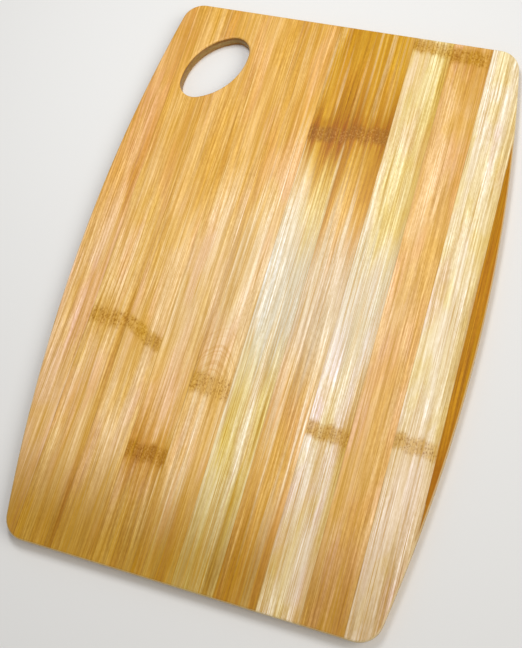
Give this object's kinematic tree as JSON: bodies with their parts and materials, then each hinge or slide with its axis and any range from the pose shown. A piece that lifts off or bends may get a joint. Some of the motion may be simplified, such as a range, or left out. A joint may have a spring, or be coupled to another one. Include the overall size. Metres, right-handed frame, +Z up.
{
  "type": "bamboo cutting board",
  "caption": "Bamboo cutting board with bowed sides, rounded corners and a slanted oval hanging hole near one corner, pressed from three cross-laid plies of strips.",
  "frame": {"origin": "middle of the underside, at the centre of the board's box", "axes": "+Z up out of the face that is cut on, +Y along the grain towards the end with the hanging hole, +X to the right when the hole is at the top left"},
  "size_m": [0.228, 0.33, 0.008],
  "materials": {
    "bamboo_straw": "satin oiled",
    "bamboo_peach": "satin oiled",
    "bamboo_golden": "satin oiled",
    "bamboo_cream": "satin oiled",
    "bamboo_amber": "satin oiled",
    "bamboo_core": "satin oiled"
  },
  "bodies": {
    "root": {"face_strip_01": "bamboo_straw", "face_strip_02": "bamboo_peach", "face_strip_03": "bamboo_peach", "face_strip_04": "bamboo_golden", "face_strip_05": "bamboo_golden", "face_strip_06": "bamboo_cream", "face_strip_07": "bamboo_golden", "face_strip_08": "bamboo_cream", "face_strip_09": "bamboo_peach", "face_strip_10": "bamboo_cream", "face_strip_11": "bamboo_amber", "core_strip_01": "bamboo_core", "core_strip_02": "bamboo_core", "core_strip_03": "bamboo_core", "core_strip_04": "bamboo_core", "core_strip_05": "bamboo_core", "core_strip_06": "bamboo_core", "core_strip_07": "bamboo_core", "core_strip_08": "bamboo_core", "core_strip_09": "bamboo_core", "core_strip_10": "bamboo_core", "core_strip_11": "bamboo_core", "core_strip_12": "bamboo_core", "core_strip_13": "bamboo_core", "core_strip_14": "bamboo_core", "back_strip_01": "bamboo_golden", "back_strip_02": "bamboo_straw", "back_strip_03": "bamboo_golden", "back_strip_04": "bamboo_peach", "back_strip_05": "bamboo_straw", "back_strip_06": "bamboo_golden", "back_strip_07": "bamboo_straw", "back_strip_08": "bamboo_peach", "back_strip_09": "bamboo_golden", "back_strip_10": "bamboo_straw", "back_strip_11": "bamboo_peach"}
  },
  "joints": []
}
